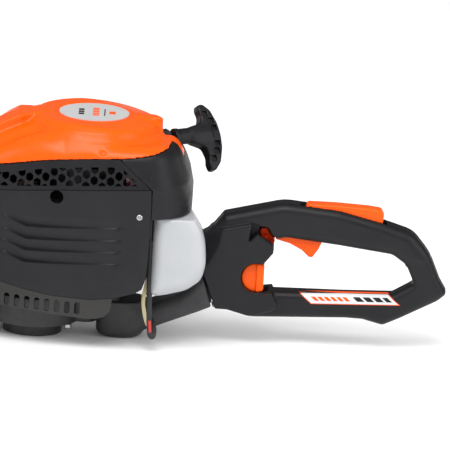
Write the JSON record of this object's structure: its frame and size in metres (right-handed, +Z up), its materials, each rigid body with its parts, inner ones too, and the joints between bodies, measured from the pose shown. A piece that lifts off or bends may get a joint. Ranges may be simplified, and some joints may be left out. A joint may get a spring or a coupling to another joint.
{
  "type": "petrol hedge trimmer",
  "caption": "Petrol hedge trimmer with recoil starter, double-sided blades, front loop handle and a swivelling rear handle.",
  "frame": {"origin": "centre of the rest face under the gear case, on the ground", "axes": "+X towards the rear handle, +Y to the operator's right, +Z up along the crankshaft"},
  "size_m": [1.1926, 0.236, 0.2549],
  "materials": {
    "orange_gloss": "gloss moulded",
    "black_plastic": "satin, finely textured",
    "guard_grey": "satin, finely textured",
    "tank_white": "translucent satin",
    "badge_white": "printed foil",
    "label_white": "printed foil",
    "rubber": "matte",
    "chrome_screw": "bright plated",
    "bright_steel": "machined",
    "blade_steel": "ground",
    "cast_aluminium": "as cast",
    "black_cast": "satin black powder coat",
    "heat_steel": "heat-proof grey",
    "dark_red": "potted coil",
    "signal_red": "wire insulation",
    "hose_cream": "clear rubber",
    "filter_felt": "felt",
    "plug_ceramic": "glazed"
  },
  "bodies": {
    "engine": {"starter_cowl": "orange_gloss", "cowl_badge": "badge_white", "cover_screws": "chrome_screw", "rope_grommet": "black_plastic", "left_intake_grille": "black_plastic", "right_intake_grille": "black_plastic", "left_side_cover": "black_plastic", "right_side_cover": "black_plastic", "air_filter_cover": "black_plastic", "rear_shroud": "black_plastic", "fuel_tank": "tank_white", "lower_guard": "guard_grey", "gearcase_cover": "black_cast", "gearcase_housing": "black_cast", "gearcase_bolts": "bright_steel", "guide_bar": "blade_steel", "blade_bolts": "bright_steel", "crankcase": "cast_aluminium", "cylinder": "cast_aluminium", "spark_plug": "plug_ceramic", "plug_boot": "rubber", "ignition_coil": "dark_red", "muffler": "heat_steel", "carburettor": "cast_aluminium", "air_filter": "filter_felt", "recoil_spring": "bright_steel", "rear_bracket": "black_cast", "swivel_index_plate": "bright_steel", "av_mounts": "rubber", "front_handle": "black_plastic", "front_grip": "rubber", "hand_guard": "black_plastic", "control_conduit": "rubber", "fuel_hose": "hose_cream", "stop_wire": "signal_red"},
    "crank": {"crankshaft": "bright_steel", "flywheel": "cast_aluminium", "clutch_shoes": "bright_steel"},
    "piston_group": {"piston": "cast_aluminium", "connecting_rod": "bright_steel"},
    "drum": {"clutch_drum": "bright_steel"},
    "gear": {"eccentric_gear": "bright_steel"},
    "lower_strap_body": {"lower_strap": "bright_steel"},
    "upper_strap_body": {"upper_strap": "bright_steel"},
    "lower_cutter": {"lower_blade": "blade_steel"},
    "upper_cutter": {"upper_blade": "blade_steel"},
    "recoil": {"recoil_pulley": "black_plastic"},
    "pull": {"pull_handle": "black_plastic", "starter_rope": "black_plastic"},
    "rear_handle": {"handle_left_half": "black_plastic", "handle_right_half": "black_plastic", "handle_fasteners": "bright_steel", "handle_label": "label_white"},
    "trigger": {"throttle_trigger": "orange_gloss"},
    "lockout": {"throttle_lockout": "orange_gloss"},
    "switch": {"stop_switch": "orange_gloss"},
    "lock_lever": {"swivel_lock_lever": "orange_gloss"},
    "cap": {"fuel_cap": "black_plastic"},
    "choke": {"choke_lever": "black_plastic"},
    "primer": {"primer_bulb": "rubber"}
  },
  "joints": [
    {"name": "crank_spin", "type": "hinge", "parent": "engine", "child": "crank", "pos_m": [0.055, 0, 0.11], "axis": [0, 0, 1], "continuous": true},
    {"name": "piston_stroke", "type": "slide", "parent": "engine", "child": "piston_group", "axis": [1, 0, 0], "range_m": [0, 0.028]},
    {"name": "gear_spin", "type": "hinge", "parent": "engine", "child": "gear", "pos_m": [0, 0, 0.038], "axis": [0, 0, 1], "continuous": true},
    {"name": "drum_spin", "type": "hinge", "parent": "engine", "child": "drum", "pos_m": [0.055, 0, 0.038], "axis": [0, 0, 1], "continuous": true},
    {"name": "lower_strap_turn", "type": "hinge", "parent": "gear", "child": "lower_strap_body", "pos_m": [0.008, 0, 0.027], "axis": [0, 0, 1], "continuous": true},
    {"name": "upper_strap_turn", "type": "hinge", "parent": "gear", "child": "upper_strap_body", "pos_m": [-0.008, 0, 0.032], "axis": [0, 0, 1], "continuous": true},
    {"name": "lower_blade_stroke", "type": "slide", "parent": "engine", "child": "lower_cutter", "axis": [1, 0, 0], "range_m": [-0.008, 0.008]},
    {"name": "upper_blade_stroke", "type": "slide", "parent": "engine", "child": "upper_cutter", "axis": [1, 0, 0], "range_m": [-0.008, 0.008]},
    {"name": "starter_pull", "type": "slide", "parent": "engine", "child": "pull", "axis": [0.866, 0.5, 0], "range_m": [0, 0.6], "stiffness_N_per_m": 12, "springref_m": -0.3, "deforming": ["starter_rope"]},
    {"name": "pulley_turn", "type": "hinge", "parent": "engine", "child": "recoil", "pos_m": [0.055, 0, 0.224], "axis": [0, 0, 1], "range_deg": [0, 1000]},
    {"name": "handle_swivel", "type": "hinge", "parent": "engine", "child": "rear_handle", "pos_m": [0.191, 0, 0.057], "axis": [0.9444, 0, 0.3289], "range_deg": [-90, 90]},
    {"name": "throttle_squeeze", "type": "hinge", "parent": "rear_handle", "child": "trigger", "pos_m": [0.267, 0, 0.1255], "axis": [0, -1, 0], "range_deg": [0, 14], "stiffness_Nm_per_rad": 0.4, "springref_deg": -17.19},
    {"name": "lockout_press", "type": "hinge", "parent": "rear_handle", "child": "lockout", "pos_m": [0.298, 0, 0.1575], "axis": [0, 1, 0], "range_deg": [0, 6], "stiffness_Nm_per_rad": 0.6, "springref_deg": -17.19},
    {"name": "stop_rock", "type": "hinge", "parent": "rear_handle", "child": "switch", "pos_m": [0.252, 0, 0.122], "axis": [0, 1, 0], "range_deg": [-8, 8]},
    {"name": "lock_lever_pull", "type": "slide", "parent": "rear_handle", "child": "lock_lever", "axis": [0.9444, 0, 0.3289], "range_m": [0, 0.006], "stiffness_N_per_m": 300, "springref_m": -0.01},
    {"name": "fuel_cap_turn", "type": "hinge", "parent": "engine", "child": "cap", "pos_m": [0.148, 0.09, 0.108], "axis": [0, 1, 0], "range_deg": [0, 540]},
    {"name": "choke_turn", "type": "hinge", "parent": "engine", "child": "choke", "pos_m": [0.035, 0.09, 0.126], "axis": [0, 1, 0], "range_deg": [0, 80]},
    {"name": "primer_press", "type": "slide", "parent": "engine", "child": "primer", "axis": [0, -1, 0], "range_m": [0, 0.005], "stiffness_N_per_m": 500, "springref_m": -0.003}
  ],
  "couplings": [
    {"joint": "drum_spin", "follows": "gear_spin", "ratio": -4.5},
    {"joint": "lower_strap_turn", "follows": "gear_spin", "ratio": -1},
    {"joint": "upper_strap_turn", "follows": "gear_spin", "ratio": -1},
    {"joint": "upper_blade_stroke", "follows": "lower_blade_stroke", "ratio": -1},
    {"joint": "pulley_turn", "follows": "starter_pull", "rad_per_m": 28.65}
  ]
}
